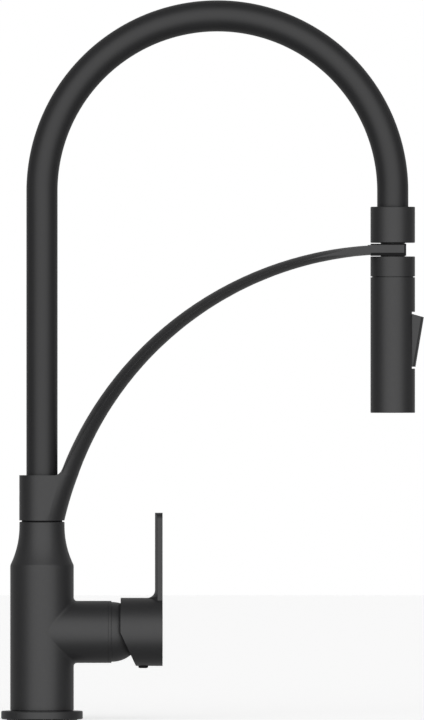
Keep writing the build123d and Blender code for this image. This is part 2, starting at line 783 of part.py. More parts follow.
with BuildPart() as spigot_o_rings:
    for height in SEAL_HEIGHTS:
        with BuildSketch(Plane.XZ):
            with Locations((SEAL_CENTRE_R, height)):
                Circle(SEAL_WIRE_R)
        revolve(axis=Axis.Z)

with BuildPart() as hose_base_fitting:
    with BuildSketch(Plane.XZ):
        with BuildLine():
            Polyline(
                (HOSE_BORE_R, TAIL_Z), (SPIGOT_SEAT_R, TAIL_Z), (SPIGOT_SEAT_R, SPIGOT_TOP_Z),
                (FLANGE_R, SPIGOT_TOP_Z), (FLANGE_R, FLANGE_TOP_Z), (BARB_R, FLANGE_TOP_Z),
                (BARB_R, BARB_TOP_Z), (HOSE_BORE_R, BARB_TOP_Z), close=True,
            )
        make_face()
    revolve(axis=Axis.Z)

with BuildLine() as hose_path:
    Line((0, 0, HOSE_START_Z), (0, 0, ARCH_Z))
    ThreePointArc((0, 0, ARCH_Z), (HEAD_X / 2, 0, ARCH_Z + HEAD_X / 2), (HEAD_X, 0, ARCH_Z))
    Line((HEAD_X, 0, ARCH_Z), (HEAD_X, 0, HOSE_END_Z))

with BuildPart() as hose_sleeve:
    with BuildSketch(level(HOSE_START_Z)):
        Circle(SLEEVE_R)
        Circle(SLEEVE_BORE_R, mode=Mode.SUBTRACT)
    sweep(path=hose_path.line)

with BuildPart() as hose_coil:
    with BuildSketch(level(HOSE_START_Z)):
        Circle(COIL_R)
        Circle(COIL_BORE_R, mode=Mode.SUBTRACT)
    sweep(path=hose_path.line)

with BuildPart() as hose_inner_tube:
    with BuildSketch(level(HOSE_START_Z)):
        Circle(TUBE_R)
        Circle(TUBE_BORE_R, mode=Mode.SUBTRACT)
    sweep(path=hose_path.line)

# ---------------------------------------------------------------- collar, support arm and fork


def profile_x(centre, radius, z):
    """Where an arc of the arm's profile crosses a height, on its left side."""
    return centre[0] - math.sqrt(radius ** 2 - (z - centre[1]) ** 2)


def collar_outline(ridge, nose, half):
    """Outline of the collar, round behind and drawn out in front to the arm's ridge and nose."""
    with BuildLine() as outline:
        ThreePointArc((0, COLLAR_R), (-COLLAR_R, 0), (0, -COLLAR_R))
        TangentArc((0, -COLLAR_R), (ridge, -half), tangent=(1, 0))
        ThreePointArc((ridge, -half), (nose, 0), (ridge, half))
        TangentArc((0, COLLAR_R), (ridge, half), tangent=(1, 0))
    return outline.line


def arm_station(angle):
    """Plane, half thickness, half width, ridge offset and side height of the arm at an angle."""
    past_tip = angle - ARM_TIP_DEG
    thick = ARM_TIP_T + ARM_SWELL[0] * past_tip + ARM_SWELL[1] * past_tip ** 2
    turn = math.radians(angle)
    shift_x = ARM_UPPER_CENTRE[0] - ARM_CENTRE[0]
    shift_z = ARM_UPPER_CENTRE[1] - ARM_CENTRE[1]
    middle = ARM_UPPER_R + shift_x * math.cos(turn) + shift_z * math.sin(turn) - thick / 2
    spread = max(0.0, (angle - ARM_SPREAD_START_DEG) / (ARM_SPREAD_END_DEG - ARM_SPREAD_START_DEG)) ** 2
    flare = max(0.0, (ARM_FLARE_DEG - angle) / (ARM_FLARE_DEG - ARM_END_DEG))
    half = (ARM_HALF + ARM_SPREAD * spread) * (1 - flare) + FORK_HALF * flare
    side = ARM_EDGE * (1 - flare) + FORK_SIDE_SHARE * thick / 2 * flare
    origin = (ARM_CENTRE[0] + middle * math.cos(turn), 0, ARM_CENTRE[1] + middle * math.sin(turn))
    radial = (math.cos(turn), 0, math.sin(turn))
    along = (math.sin(turn), 0, -math.cos(turn))
    ridge = (0.5 - ARM_RIDGE) * thick * spread
    return Plane(origin=origin, x_dir=radial, z_dir=along), thick / 2, half, ridge, side


with BuildPart() as collar:
    for step, collar_half in enumerate(COLLAR_HALVES):
        height = COLLAR_Z + (COLLAR_TOP_Z - COLLAR_Z) * step / (len(COLLAR_HALVES) - 1)
        crest_x = profile_x(ARM_UPPER_CENTRE, ARM_UPPER_R, height)
        nose_x = profile_x(ARM_LOWER_CENTRE, ARM_LOWER_R, height)
        ridge_x = crest_x + ARM_RIDGE * (nose_x - crest_x)
        with BuildSketch(level(height)):
            add(collar_outline(ridge_x, nose_x, collar_half))
            make_face()
    loft()

# From here crest_x, nose_x, ridge_x and collar_half stand for the collar's top, where the arm leaves it.
with BuildPart() as arm:
    with BuildSketch(level(COLLAR_TOP_Z)):
        with BuildLine():
            ThreePointArc((ridge_x, -collar_half), (nose_x, 0), (ridge_x, collar_half))
            Line((ridge_x, collar_half), (ridge_x - ARM_EDGE, collar_half))
            ThreePointArc((ridge_x - ARM_EDGE, collar_half), (crest_x, 0), (ridge_x - ARM_EDGE, -collar_half))
            Line((ridge_x - ARM_EDGE, -collar_half), (ridge_x, -collar_half))
        make_face()
    for station in range(ARM_STATIONS + 1):
        plane, deep, half, ridge, side = arm_station(
            ARM_START_DEG + (ARM_END_DEG - ARM_START_DEG) * station / ARM_STATIONS)
        tip = half - ARM_EDGE
        with BuildSketch(plane):
            with BuildLine():
                ThreePointArc((ridge - side, -tip), (-deep, 0), (ridge - side, tip))
                ThreePointArc((ridge - side, tip), (ridge, half), (ridge + side, tip))
                ThreePointArc((ridge + side, tip), (deep, 0), (ridge + side, -tip))
                ThreePointArc((ridge + side, -tip), (ridge, -half), (ridge - side, -tip))
            make_face()
    loft()

with BuildPart() as arm_web:
    with BuildSketch(level(COLLAR_TOP_Z)):
        add(collar_outline(ridge_x, nose_x, collar_half))
        make_face()
    extrude(amount=ARM_ROOT_R)
    # a hollow corner between the collar's top and the arm's back
    with BuildSketch(Plane.XZ):
        lean = math.asin((COLLAR_TOP_Z - ARM_UPPER_CENTRE[1]) / ARM_UPPER_R)
        run = ARM_ROOT_R * math.tan((math.pi / 2 - lean) / 2)
        corner_top = (crest_x + run * math.sin(lean), COLLAR_TOP_Z + run * math.cos(lean))
        with BuildLine():
            Line((ridge_x, COLLAR_TOP_Z), (crest_x - run, COLLAR_TOP_Z))
            TangentArc((crest_x - run, COLLAR_TOP_Z), corner_top, tangent=(1, 0))
            Polyline(corner_top, (corner_top[0] + ridge_x - crest_x, corner_top[1]), (ridge_x, COLLAR_TOP_Z))
        make_face()
    extrude(amount=2 * COLLAR_R, both=True, mode=Mode.INTERSECT)

with BuildPart() as support_arm:
    add(collar.part)
    add(arm.part)
    add(arm_web.part)
    # the arm stops where the insert starts, and goes on as the fork's flat plate
    with BuildSketch(level(INSERT_Z)):
        with Locations((FORK_X + FORK_REACH, 0)):
            Rectangle(2 * FORK_REACH, 4 * FORK_HALF)
    extrude(amount=INSERT_TOP_Z - INSERT_Z, mode=Mode.SUBTRACT)
    with BuildSketch(level(FORK_Z)):
        with Locations(((FORK_X - FORK_LAP + FORK_TIP_X) / 2, 0)):
            Rectangle(FORK_TIP_X - FORK_X + FORK_LAP, 2 * FORK_HALF)
        with Locations((HEAD_X, 0)):
            Circle(FORK_SLOT_R, mode=Mode.SUBTRACT)
        with Locations((HEAD_X + FORK_HALF, 0)):
            Rectangle(2 * FORK_HALF, 2 * FORK_SLOT_R, mode=Mode.SUBTRACT)
    extrude(amount=FORK_TOP_Z - FORK_Z)
    # sockets for the spigot and the hose
    with BuildSketch(level(COLLAR_Z)):
        Circle(SPIGOT_R)
    extrude(amount=SPIGOT_TOP_Z - COLLAR_Z, mode=Mode.SUBTRACT)
    with BuildSketch(level(SPIGOT_TOP_Z)):
        Circle(HOSE_SOCKET_R)
    extrude(amount=COLLAR_BORE_TOP_Z - SPIGOT_TOP_Z, mode=Mode.SUBTRACT)
    with BuildSketch(rear(0, COLLAR_SCREW_Z)):
        Circle(COLLAR_SCREW_R)
    extrude(amount=COLLAR_R + 1, mode=Mode.SUBTRACT)

with BuildPart() as collar_screw:
    with BuildSketch(rear(COLLAR_SCREW_Y, COLLAR_SCREW_Z)):
        Circle(COLLAR_SCREW_R)
    extrude(amount=COLLAR_SCREW_END_Y - COLLAR_SCREW_Y)
    with BuildSketch(rear(COLLAR_SCREW_END_Y - 2 * COLLAR_SCREW_KEY, COLLAR_SCREW_Z)):
        RegularPolygon(COLLAR_SCREW_KEY, 6, major_radius=False)
    extrude(amount=2 * COLLAR_SCREW_KEY, mode=Mode.SUBTRACT)

with BuildPart() as fork_insert:
    with BuildSketch(level(INSERT_Z)):
        with Locations(((FORK_X + INSERT_TIP_X) / 2, 0)):
            Rectangle(INSERT_TIP_X - FORK_X, 2 * FORK_HALF)
        with Locations((HEAD_X, 0)):
            Circle(INSERT_SLOT_R, mode=Mode.SUBTRACT)
        with Locations((HEAD_X + FORK_HALF, 0)):
            Rectangle(2 * FORK_HALF, 2 * INSERT_SLOT_R, mode=Mode.SUBTRACT)
    extrude(amount=INSERT_TOP_Z - INSERT_Z)
    with BuildSketch(level(FORK_Z)):
        with Locations(((FORK_X + FORK_TIP_X) / 2, 0)):
            Rectangle(FORK_TIP_X - FORK_X, 2 * FORK_HALF)
        with Locations((HEAD_X, 0)):
            Circle(FORK_SLOT_R, mode=Mode.SUBTRACT)
        with Locations((HEAD_X + FORK_HALF, 0)):
            Rectangle(2 * FORK_HALF, 2 * FORK_SLOT_R, mode=Mode.SUBTRACT)
    extrude(amount=FORK_TOP_Z - FORK_Z, mode=Mode.SUBTRACT)

# ---------------------------------------------------------------- hose end

with BuildPart() as hose_ferrule:
    with BuildSketch(head_level(FERRULE_Z)):
        Circle(HEAD_R)
    extrude(amount=FERRULE_TOP_Z - FERRULE_Z)
    chamfer(hose_ferrule.edges().filter_by(GeomType.CIRCLE), FERRULE_CHAMFER)
    with BuildSketch(head_level(FERRULE_Z)):
        Circle(STEM_NECK_R)
    extrude(amount=FERRULE_TOP_Z - FERRULE_Z, mode=Mode.SUBTRACT)
    with BuildSketch(head_level(FERRULE_FLOOR_Z)):
        Circle(HOSE_SOCKET_R)
    extrude(amount=FERRULE_TOP_Z - FERRULE_FLOOR_Z, mode=Mode.SUBTRACT)

with BuildPart() as hose_end_stem:
    with BuildSketch(HEAD_SIDE):
        with BuildLine():
            Polyline(
                (HOSE_BORE_R, STEM_BOTTOM_Z), (STEM_SPIGOT_R, STEM_BOTTOM_Z), (STEM_SPIGOT_R, STEM_STEP_Z),
                (STEM_NECK_R, STEM_STEP_Z), (STEM_NECK_R, FERRULE_FLOOR_Z), (FLANGE_R, FERRULE_FLOOR_Z),
                (FLANGE_R, STEM_FLANGE_TOP_Z), (BARB_R, STEM_FLANGE_TOP_Z), (BARB_R, STEM_BARB_TOP_Z),
                (HOSE_BORE_R, STEM_BARB_TOP_Z), close=True,
            )
        make_face()
        with Locations((STEM_RING_GROOVE_R + 1, STEM_RING_Z)):
            Rectangle(2, 2 * STEM_RING_HALF, mode=Mode.SUBTRACT)
        with Locations((CIRCLIP_BORE_R + 1, CIRCLIP_Z + CIRCLIP_T / 2)):
            Rectangle(2, 2 * CIRCLIP_GROOVE_HALF, mode=Mode.SUBTRACT)
    revolve(axis=HEAD_AXIS)

with BuildPart() as stem_o_ring:
    with BuildSketch(HEAD_SIDE):
        with Locations((STEM_RING_CENTRE_R, STEM_RING_Z)):
            Circle(STEM_RING_WIRE_R)
    revolve(axis=HEAD_AXIS)

with BuildPart() as stem_circlip:
    with BuildSketch(head_level(CIRCLIP_Z)):
        Circle(CIRCLIP_R)
        Circle(CIRCLIP_BORE_R, mode=Mode.SUBTRACT)
        with Locations((CIRCLIP_R, 0)):
            Rectangle(CIRCLIP_R, CIRCLIP_GAP, mode=Mode.SUBTRACT)
    extrude(amount=CIRCLIP_T)

# ---------------------------------------------------------------- spray head

with BuildPart() as head_top_collar:
    with BuildSketch(head_level(HEAD_SEAM_Z + HEAD_SEAM)):
        Circle(HEAD_R)
    extrude(amount=HEAD_TOP_Z - HEAD_SEAM_Z - HEAD_SEAM)
    chamfer(head_top_collar.edges().group_by(Axis.Z)[0], HEAD_SEAM_CHAMFER)
    chamfer(head_top_collar.edges().group_by(Axis.Z)[-1], HEAD_CHAMFER)
    with BuildSketch(head_level(HEAD_SEAM_Z)):
        Circle(HEAD_SEAM_R)
    extrude(amount=HEAD_SEAM)
    with BuildSketch(head_level(COLLAR_TAIL_Z)):
        Circle(HEAD_THREAD_R)
    extrude(amount=HEAD_SEAM_Z + HEAD_SEAM - COLLAR_TAIL_Z)
    with BuildSketch(head_level(COLLAR_TAIL_Z)):
        Circle(COLLAR_TAIL_BORE_R)
    extrude(amount=CIRCLIP_SEAT_Z - COLLAR_TAIL_Z, mode=Mode.SUBTRACT)
    with BuildSketch(head_level(COLLAR_TAIL_Z)):
        Circle(STEM_NECK_R + STEM_PLAY)
    extrude(amount=HEAD_TOP_Z - COLLAR_TAIL_Z, mode=Mode.SUBTRACT)

with BuildPart() as head_shell:
    with BuildSketch(head_level(HEAD_Z)):
        Circle(HEAD_R)
    extrude(amount=HEAD_SEAM_Z - HEAD_Z)
    chamfer(head_shell.edges().group_by(Axis.Z)[0], HEAD_CHAMFER)
    chamfer(head_shell.edges().group_by(Axis.Z)[-1], HEAD_SEAM_CHAMFER)
    with BuildSketch(head_level(HEAD_Z)):
        Circle(HEAD_BORE_R)
    extrude(amount=HEAD_SEAM_Z - HEAD_Z, mode=Mode.SUBTRACT)
    with BuildSketch(head_level(HEAD_Z)):
        Circle(FACE_BORE_R)
    extrude(amount=FACE_TOP_Z - HEAD_Z, mode=Mode.SUBTRACT)
    with BuildSketch(head_level(HEAD_THREAD_Z)):
        Circle(HEAD_THREAD_R)
    extrude(amount=HEAD_SEAM_Z - HEAD_THREAD_Z, mode=Mode.SUBTRACT)
    # flat for the rocker, and the window it sits in
    with BuildSketch(head_level(RECESS_Z)):
        with Locations((RECESS_FLAT + HEAD_R / 2, 0)):
            Rectangle(HEAD_R, 2 * HEAD_R)
    extrude(amount=RECESS_TOP_Z - RECESS_Z, mode=Mode.SUBTRACT)
    with BuildSketch(head_level(RECESS_Z + WINDOW_LEDGE)):
        with Locations((HEAD_R, 0)):
            Rectangle(2 * HEAD_R, 2 * (ROCKER_HALF + ROCKER_GAP))
    extrude(amount=RECESS_TOP_Z - RECESS_Z - 2 * WINDOW_LEDGE, mode=Mode.SUBTRACT)
    with BuildSketch(rocker_side(-ROCKER_PIN_HALF)):
        Circle(ROCKER_PIN_R)
    extrude(amount=2 * ROCKER_PIN_HALF, mode=Mode.SUBTRACT)

with BuildPart() as spray_core:
    with BuildSketch(head_level(FACE_TOP_Z)):
        Circle(CORE_R)
    extrude(amount=CORE_TOP_Z - FACE_TOP_Z)
    with BuildSketch(head_level(CORE_SOCKET_Z)):
        Circle(CORE_SOCKET_R)
    extrude(amount=CORE_TOP_Z - CORE_SOCKET_Z, mode=Mode.SUBTRACT)
    with BuildSketch(head_level(VALVE_POCKET_Z)):
        with Locations((VALVE_U, 0)):
            Circle(VALVE_POCKET_R)
    extrude(amount=CORE_SOCKET_Z - VALVE_POCKET_Z, mode=Mode.SUBTRACT)
    # pocket behind the rocker
    with BuildSketch(head_level(RECESS_Z + WINDOW_LEDGE)):
        with Locations((POCKET_FLOOR + CORE_R / 2, 0)):
            Rectangle(CORE_R, 2 * (ROCKER_HALF + ROCKER_GAP))
    extrude(amount=RECESS_TOP_Z - RECESS_Z - 2 * WINDOW_LEDGE, mode=Mode.SUBTRACT)
    # spool bore and the counterbore for its spring
    with BuildSketch(head_across(SPOOL_BORE_U)):
        with Locations((0, SPOOL_Z)):
            Circle(SPOOL_R + SPOOL_PLAY)
    extrude(amount=POCKET_FLOOR - SPOOL_BORE_U, mode=Mode.SUBTRACT)
    with BuildSketch(head_across(SPRING_SEAT_U)):
        with Locations((0, SPOOL_Z)):
            Circle(SPRING_BORE_R)
    extrude(amount=POCKET_FLOOR - SPRING_SEAT_U, mode=Mode.SUBTRACT)
    # waterways: in from the valve, and down from the spool to the nozzles and to the aerator
    with BuildSketch(head_level(SPOOL_Z)):
        with Locations((INLET_U, 0)):
            Circle(INLET_R)
    extrude(amount=VALVE_POCKET_Z - SPOOL_Z, mode=Mode.SUBTRACT)
    with BuildSketch(head_level(FACE_TOP_Z)):
        with Locations((NOZZLE_WAY_U, 0)):
            Circle(WAY_R)
        with Locations((AERATOR_WAY_U, 0)):
            Circle(WAY_R)
    extrude(amount=SPOOL_Z - FACE_TOP_Z, mode=Mode.SUBTRACT)

with BuildPart() as check_valve:
    with BuildSketch(head_level(VALVE_Z)):
        with Locations((VALVE_U, 0)):
            Circle(VALVE_R)
            Circle(VALVE_BORE_R, mode=Mode.SUBTRACT)
    extrude(amount=VALVE_TOP_Z - VALVE_Z)

with BuildPart() as spray_face:
    with BuildSketch(head_level(FACE_Z)):
        Circle(FACE_R)
        Circle(AERATOR_HOLE_R, mode=Mode.SUBTRACT)
        for ring_r, count in NOZZLE_RINGS:
            with PolarLocations(ring_r, count):
                Circle(NOZZLE_HOLE_R, mode=Mode.SUBTRACT)
    extrude(amount=FACE_PLATE_TOP_Z - FACE_Z)
    with BuildSketch(head_level(FACE_PLATE_TOP_Z)):
        Circle(FACE_R)
        Circle(FACE_SKIRT_R, mode=Mode.SUBTRACT)
    extrude(amount=FACE_TOP_Z - FACE_PLATE_TOP_Z)

with BuildPart() as spray_nozzles:
    with BuildSketch(head_level(NOZZLE_Z)):
        for ring_r, count in NOZZLE_RINGS:
            with PolarLocations(ring_r, count):
                Circle(NOZZLE_R)
    extrude(amount=FACE_PLATE_TOP_Z - NOZZLE_Z)
    with BuildSketch(head_level(FACE_PLATE_TOP_Z)):
        Circle(NOZZLE_WEB_R)
        Circle(NOZZLE_WEB_BORE_R, mode=Mode.SUBTRACT)
    extrude(amount=NOZZLE_WEB_T)
    with BuildSketch(head_level(NOZZLE_Z)):
        for ring_r, count in NOZZLE_RINGS:
            with PolarLocations(ring_r, count):
                Circle(NOZZLE_BORE_R)
    extrude(amount=FACE_PLATE_TOP_Z + NOZZLE_WEB_T - NOZZLE_Z, mode=Mode.SUBTRACT)

with BuildPart() as aerator_housing:
    with BuildSketch(head_level(AERATOR_Z)):
        Circle(AERATOR_R)
        Circle(AERATOR_BORE_R, mode=Mode.SUBTRACT)
    extrude(amount=AERATOR_TOP_Z - AERATOR_Z)
    with BuildSketch(head_level(AERATOR_LIP_Z)):
        Circle(AERATOR_LIP_R)
        Circle((AERATOR_R + AERATOR_BORE_R) / 2, mode=Mode.SUBTRACT)
    extrude(amount=AERATOR_LIP_T)

with BuildPart() as aerator_mesh:
    with BuildSketch(head_level(MESH_Z)):
        Circle(AERATOR_BORE_R)
        with GridLocations(MESH_PITCH, MESH_PITCH, MESH_COUNT, MESH_COUNT):
            Rectangle(MESH_HOLE, MESH_HOLE, mode=Mode.SUBTRACT)
    extrude(amount=MESH_T)

# ---------------------------------------------------------------- rocker and spool

with BuildPart() as rocker_button:
    with BuildSketch(HEAD_SIDE):
        pivot_u, pivot_z = ROCKER_PIVOT
        slant = ROCKER_HEEL_R * math.sqrt(0.5)
        with BuildLine():
            Polyline(
                (pivot_u - ROCKER_HEEL_R, pivot_z), (ROCKER_BACK_U, pivot_z + ROCKER_HEEL_R),
                (ROCKER_BACK_U, ROCKER_TOP_Z), (RECESS_FLAT, ROCKER_TOP_Z - 0.3), ROCKER_TOE,
                ROCKER_FOOT, (pivot_u, pivot_z - ROCKER_HEEL_R),
            )
            ThreePointArc((pivot_u, pivot_z - ROCKER_HEEL_R), (pivot_u - slant, pivot_z - slant),
                          (pivot_u - ROCKER_HEEL_R, pivot_z))
        make_face()
    extrude(amount=ROCKER_HALF, both=True)
    # the outer face is rounded across its width
    with BuildSketch(Plane(origin=(HEAD_X + ROCKER_FACE_U, 0, (ROCKER_TOE[1] + ROCKER_FOOT[1]) / 2),
                           z_dir=(ROCKER_TOE[0] - ROCKER_FOOT[0], 0, ROCKER_TOE[1] - ROCKER_FOOT[1]))):
        Circle(ROCKER_FACE_R)
    extrude(amount=ROCKER_TOP_Z - ROCKER_FOOT[1], both=True, mode=Mode.INTERSECT)
    with BuildSketch(rocker_side(-ROCKER_HALF)):
        Circle(ROCKER_PIN_R + PIN_GAP)
    extrude(amount=2 * ROCKER_HALF, mode=Mode.SUBTRACT)

with BuildPart() as rocker_pin:
    with BuildSketch(rocker_side(-ROCKER_PIN_HALF)):
        Circle(ROCKER_PIN_R)
    extrude(amount=2 * ROCKER_PIN_HALF)

with BuildPart() as diverter_spool:
    with BuildSketch(head_across(SPOOL_U)):
        with Locations((0, SPOOL_Z)):
            Circle(SPOOL_R)
    extrude(amount=SPOOL_END_U - SPOOL_U)
    with BuildSketch(head_across(SPOOL_HEAD_U)):
        with Locations((0, SPOOL_Z)):
            Circle(SPOOL_HEAD_R)
    extrude(amount=SPOOL_END_U - SPOOL_HEAD_U)
    # waist that joins the inlet to the aerator's way once the rocker is pressed
    with BuildSketch(head_across(SPOOL_WAIST_U)):
        with Locations((0, SPOOL_Z)):
            Circle(SPOOL_R + 1)
            Circle(SPOOL_WAIST_R, mode=Mode.SUBTRACT)
    extrude(amount=SPOOL_WAIST_END_U - SPOOL_WAIST_U, mode=Mode.SUBTRACT)

with BuildPart() as spool_spring:
    with BuildSketch(head_across(SPRING_SEAT_U + SPRING_PLAY)):
        with Locations((0, SPOOL_Z)):
            Circle(SPRING_R)
            Circle(SPRING_INNER_R, mode=Mode.SUBTRACT)
    extrude(amount=SPOOL_HEAD_U - SPRING_SEAT_U - 2 * SPRING_PLAY)

PIECES = {
    "base_gasket": base_gasket,
    "base_ring": base_ring,
    "main_body": main_body,
    "retaining_screw": retaining_screw,
    "swivel_bearing": swivel_bearing,
    "slide_washer": slide_washer,
    "fixing_studs": fixing_studs,
    "horseshoe_gasket": horseshoe_gasket,
    "horseshoe_plate": horseshoe_plate,
    "fixing_nuts": fixing_nuts,
    "cartridge_seals": cartridge_seals,
    "cartridge_base": cartridge_base,
    "fixed_disc": fixed_disc,
    "cartridge_housing": cartridge_housing,
    "cartridge_nut": cartridge_nut,
    "cartridge_rotor": cartridge_rotor,
    "stem_pin": stem_pin,
    "moving_disc": moving_disc,
    "disc_driver": disc_driver,
    "dome_cover": dome_cover,
    "stem": stem,
    "lever_handle": lever_handle,
    "handle_screw": handle_screw,
    "handle_plug": handle_plug,
    "swivel_spigot": swivel_spigot,
    "spigot_o_rings": spigot_o_rings,
    "hose_base_fitting": hose_base_fitting,
    "hose_sleeve": hose_sleeve,
    "hose_coil": hose_coil,
    "hose_inner_tube": hose_inner_tube,
    "support_arm": support_arm,
    "collar_screw": collar_screw,
    "fork_insert": fork_insert,
    "hose_ferrule": hose_ferrule,
    "hose_end_stem": hose_end_stem,
    "stem_o_ring": stem_o_ring,
    "stem_circlip": stem_circlip,
    "head_top_collar": head_top_collar,
    "head_shell": head_shell,
    "spray_core": spray_core,
    "check_valve": check_valve,
    "spray_face": spray_face,
    "spray_nozzles": spray_nozzles,
    "aerator_housing": aerator_housing,
    "aerator_mesh": aerator_mesh,
    "rocker_button": rocker_button,
    "rocker_pin": rocker_pin,
    "diverter_spool": diverter_spool,
    "spool_spring": spool_spring,
}

for name, piece in PIECES.items():
    piece.part.label = name
    export_step(piece.part, f"parts/{name}.step")
    print(f"{name}: {piece.part.volume:.0f} mm3")
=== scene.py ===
"""Looks for the kitchen tap: materials, the hose with its coil, the spool's spring, a floor and soft light.

Metres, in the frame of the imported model: the deck is z = 0, the column stands on it and the spout points
along +X.
"""

import json
import math

import bmesh
import bpy
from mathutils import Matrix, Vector


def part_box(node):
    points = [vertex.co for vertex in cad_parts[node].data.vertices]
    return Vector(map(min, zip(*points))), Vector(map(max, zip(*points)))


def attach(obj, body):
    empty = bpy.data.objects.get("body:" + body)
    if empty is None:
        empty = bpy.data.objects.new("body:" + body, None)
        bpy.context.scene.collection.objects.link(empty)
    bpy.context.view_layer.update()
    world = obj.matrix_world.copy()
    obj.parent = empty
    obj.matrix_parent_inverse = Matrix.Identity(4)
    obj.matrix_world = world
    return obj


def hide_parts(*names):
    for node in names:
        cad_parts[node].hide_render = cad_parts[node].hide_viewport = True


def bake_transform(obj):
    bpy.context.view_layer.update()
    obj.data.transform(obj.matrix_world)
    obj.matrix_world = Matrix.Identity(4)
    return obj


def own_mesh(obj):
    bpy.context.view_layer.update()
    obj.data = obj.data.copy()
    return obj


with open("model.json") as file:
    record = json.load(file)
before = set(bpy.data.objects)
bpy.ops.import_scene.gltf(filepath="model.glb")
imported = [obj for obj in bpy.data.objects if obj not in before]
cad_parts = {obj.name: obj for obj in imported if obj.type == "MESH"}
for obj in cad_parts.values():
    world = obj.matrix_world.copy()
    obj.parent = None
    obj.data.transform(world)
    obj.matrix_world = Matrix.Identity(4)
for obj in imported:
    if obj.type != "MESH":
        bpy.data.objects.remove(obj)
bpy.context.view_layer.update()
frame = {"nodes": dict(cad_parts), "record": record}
nodes = frame["nodes"]

# Camera: the lens is so long that the view is nearly parallel
LENS = 800.0
SENSOR = 36.0
CLIP_END = 50.0
IMAGE_HEIGHT_M = 0.5099
CAMERA_SHIFT_X = -0.00035
CAMERA_SHIFT_Z = 0.0002

# Hose
STEM_ABOVE_HOSE = 0.0154
LAYER_GAP = 0.0001
TUBE_BORE_R = 0.0045
COIL_PITCH = 0.003
COIL_END_GAP = 0.0002

# Spool spring
SPRING_WIRE_R = 0.00045
SPRING_TURNS = 6

# Floor and light
FLOOR_HALF = 6.0
FLOOR_GLOW = 0.55
LIGHT_STRENGTH = 1.70
BELOW_TURN = 0.44
BELOW_DIMMING = 0.25
LIGHT_LEVELS = [(0.0, 1.0), (0.10, 0.95), (0.29, 0.17), (0.48, 0.08), (0.72, 0.14), (0.90, 0.24)]


# ---------------------------------------------------------------- camera


def make_camera():
    """A long lens in front of the tap, level, framing what stands above the deck."""
    ring_low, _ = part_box("base_ring")
    _, rocker_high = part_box("rocker_button")
    _, sleeve_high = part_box("hose_sleeve")
    middle_x = (ring_low.x + rocker_high.x) / 2
    distance = IMAGE_HEIGHT_M * LENS / SENSOR
    data = bpy.data.cameras.new("camera")
    data.lens = LENS
    data.sensor_width = SENSOR
    data.clip_end = CLIP_END
    camera = bpy.data.objects.new("camera", data)
    middle_z = sleeve_high.z - IMAGE_HEIGHT_M / 2
    camera.location = (middle_x + CAMERA_SHIFT_X, -distance, middle_z + CAMERA_SHIFT_Z)
    camera.rotation_euler = (math.pi / 2, 0, 0)
    bpy.context.scene.collection.objects.link(camera)
    bpy.context.scene.camera = camera


make_camera()


# ---------------------------------------------------------------- materials


def new_material(name, color, roughness, metallic=0.0):
    """A Principled material with an object-space coordinate node, ready for detail."""
    material = bpy.data.materials.new(name)
    material.use_nodes = True
    tree = material.node_tree
    shader = tree.nodes["Principled BSDF"]
    shader.inputs["Base Color"].default_value = (*color, 1)
    shader.inputs["Roughness"].default_value = roughness
    shader.inputs["Metallic"].default_value = metallic
    place = tree.nodes.new("ShaderNodeTexCoord")
    return material, tree, shader, place.outputs["Object"]


def noise(tree, place, scale, detail=2.0, stretch=(1, 1, 1)):
    """A noise factor over the surface, with an optional stretch along the axes."""
    mapping = tree.nodes.new("ShaderNodeMapping")
    mapping.inputs["Scale"].default_value = stretch
    tree.links.new(place, mapping.inputs["Vector"])
    node = tree.nodes.new("ShaderNodeTexNoise")
    node.inputs["Scale"].default_value = scale
    node.inputs["Detail"].default_value = detail
    tree.links.new(mapping.outputs["Vector"], node.inputs["Vector"])
    return node.outputs["Fac"]


def vary(tree, factor, low, high, socket):
    """Spreads a factor from low to high and feeds it to a socket of numbers."""
    spread = tree.nodes.new("ShaderNodeMapRange")
    spread.inputs["To Min"].default_value = low
    spread.inputs["To Max"].default_value = high
    tree.links.new(factor, spread.inputs["Value"])
    tree.links.new(spread.outputs["Result"], socket)


def tint(tree, factor, first, second, socket):
    """Mixes two colours by a factor."""
    mix = tree.nodes.new("ShaderNodeMix")
    mix.data_type = "RGBA"
    mix.inputs["A"].default_value = (*first, 1)
    mix.inputs["B"].default_value = (*second, 1)
    tree.links.new(factor, mix.inputs["Factor"])
    tree.links.new(mix.outputs["Result"], socket)


def bump(tree, shader, factors, strength, distance):
    """Adds up bump from several factors, finest last."""
    normal = None
    for factor, share in factors:
        node = tree.nodes.new("ShaderNodeBump")
        node.inputs["Strength"].default_value = strength * share
        node.inputs["Distance"].default_value = distance
        tree.links.new(factor, node.inputs["Height"])
        if normal is not None:
            tree.links.new(normal, node.inputs["Normal"])
        normal = node.outputs["Normal"]
    tree.links.new(normal, shader.inputs["Normal"])


def powder_coat():
    """Matte black powder coat: an even fine grain over a very faint orange peel."""
    material, tree, shader, place = new_material("matte_black_coat", (0.024, 0.024, 0.025), 0.40)
    grain = noise(tree, place, 2600, 3)
    peel = noise(tree, place, 420, 2)
    tint(tree, peel, (0.022, 0.022, 0.023), (0.027, 0.027, 0.028), shader.inputs["Base Color"])
    vary(tree, grain, 0.36, 0.44, shader.inputs["Roughness"])
    bump(tree, shader, [(peel, 0.25), (grain, 0.5)], 0.25, 0.00004)
    return material


def silicone():
    """Soft-touch silicone of the hose's sleeve: softer gloss, a faint bloom and fine rubber grain."""
    material, tree, shader, place = new_material("silicone", (0.020, 0.020, 0.021), 0.42)
    shader.inputs["Specular IOR Level"].default_value = 0.42
    grain = noise(tree, place, 1900, 2)
    cloud = noise(tree, place, 60, 3)
    tint(tree, cloud, (0.018, 0.018, 0.019), (0.023, 0.023, 0.024), shader.inputs["Base Color"])
    vary(tree, cloud, 0.38, 0.46, shader.inputs["Roughness"])
    bump(tree, shader, [(grain, 0.5)], 0.2, 0.00004)
    return material


